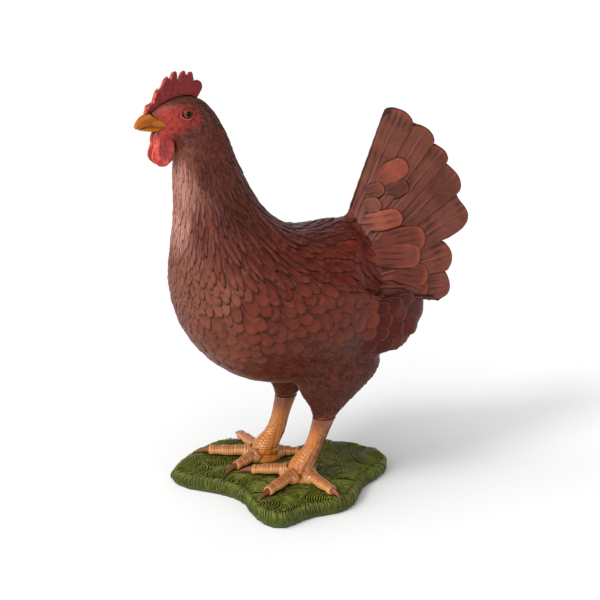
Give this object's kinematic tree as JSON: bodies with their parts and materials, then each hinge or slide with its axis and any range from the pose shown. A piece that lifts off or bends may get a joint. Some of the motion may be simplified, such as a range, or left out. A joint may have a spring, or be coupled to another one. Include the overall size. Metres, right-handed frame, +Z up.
{
  "type": "painted resin statue of a standing hen on a grass base",
  "caption": "Life-size painted resin statue of a reddish-brown hen standing upright with a raised fan tail, on a lobed carved grass base.",
  "frame": {"origin": "on the flat underside of the base, midway between the two feet", "axes": "+Z up; the bird faces -Y; its left side is +X"},
  "size_m": [0.1918, 0.3401, 0.4323],
  "materials": {
    "grass": "painted cast resin, satin, carved into grass tufts",
    "plumage": "painted cast resin, satin, carved feathers with a dark wash",
    "neck_plumage": "painted cast resin, satin, narrow carved hackles",
    "wing_plumage": "painted cast resin, satin, carved rounded feathers",
    "tail_plumage": "painted cast resin, satin, broad carved feathers",
    "thigh_plumage": "painted cast resin, satin, fine carved fluff",
    "face": "painted cast resin, satin, wrinkled bare skin",
    "comb": "painted cast resin, satin, pebbled",
    "wattle": "painted cast resin, satin",
    "bill": "painted cast resin, semi-gloss",
    "eye": "painted, glossy",
    "leg": "painted cast resin, semi-gloss, scaled",
    "claw": "painted cast resin, semi-gloss"
  },
  "bodies": {
    "root": {"base_grass": "grass", "trunk": "plumage", "neck": "neck_plumage", "head": "face", "comb": "comb", "bill_upper": "bill", "bill_lower": "bill", "wattle_left": "wattle", "eye_left": "eye", "wing_left": "wing_plumage", "tail_left": "tail_plumage", "thigh_left": "thigh_plumage", "shank_left": "leg", "toe_left_inner": "leg", "claw_left_inner": "claw", "toe_left_middle": "leg", "claw_left_middle": "claw", "toe_left_outer": "leg", "claw_left_outer": "claw", "toe_left_hind": "leg", "claw_left_hind": "claw", "wattle_right": "wattle", "eye_right": "eye", "wing_right": "wing_plumage", "tail_right": "tail_plumage", "thigh_right": "thigh_plumage", "shank_right": "leg", "toe_right_inner": "leg", "claw_right_inner": "claw", "toe_right_middle": "leg", "claw_right_middle": "claw", "toe_right_outer": "leg", "claw_right_outer": "claw", "toe_right_hind": "leg", "claw_right_hind": "claw"}
  },
  "joints": []
}
